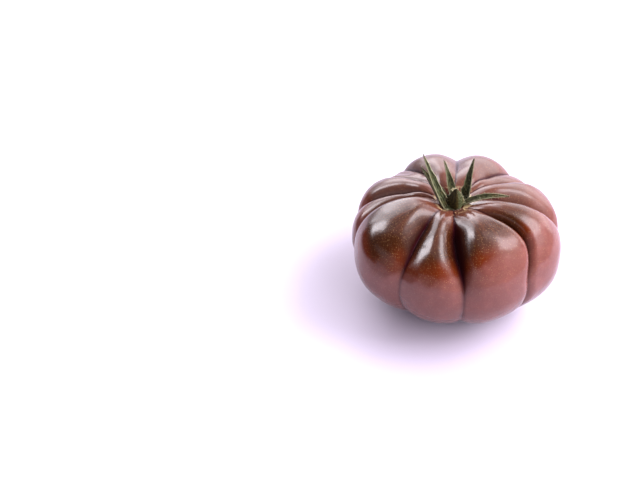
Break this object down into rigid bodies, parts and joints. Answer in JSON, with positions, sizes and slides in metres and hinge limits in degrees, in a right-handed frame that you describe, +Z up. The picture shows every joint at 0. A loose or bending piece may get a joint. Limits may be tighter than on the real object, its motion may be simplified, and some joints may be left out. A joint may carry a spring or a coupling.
{
  "type": "ribbed heirloom tomato",
  "caption": "Squat, deeply ribbed dark heirloom tomato, as picked, with a green calyx and a torn stem stub, resting on its blossom end.",
  "frame": {"origin": "centre of the bounding box's base, on the surface that the fruit rests on", "axes": "+Z up from the blossom end to the stem, -Y to the side where the narrow lobe between two deep creases is, +X to the right of that side"},
  "size_m": [0.0908, 0.091, 0.0663],
  "materials": {
    "skin": "smooth glossy fruit skin, brown-olive shoulders over dark red",
    "stem": "matte, finely hairy green stem",
    "sepal": "matte, finely hairy dark green leaf"
  },
  "bodies": {
    "root": {"fruit": "skin", "stem_stub": "stem", "sepal_front": "sepal", "sepal_left": "sepal", "sepal_left_rear": "sepal", "sepal_rear": "sepal", "sepal_right": "sepal", "sepal_right_low": "sepal"}
  },
  "joints": []
}
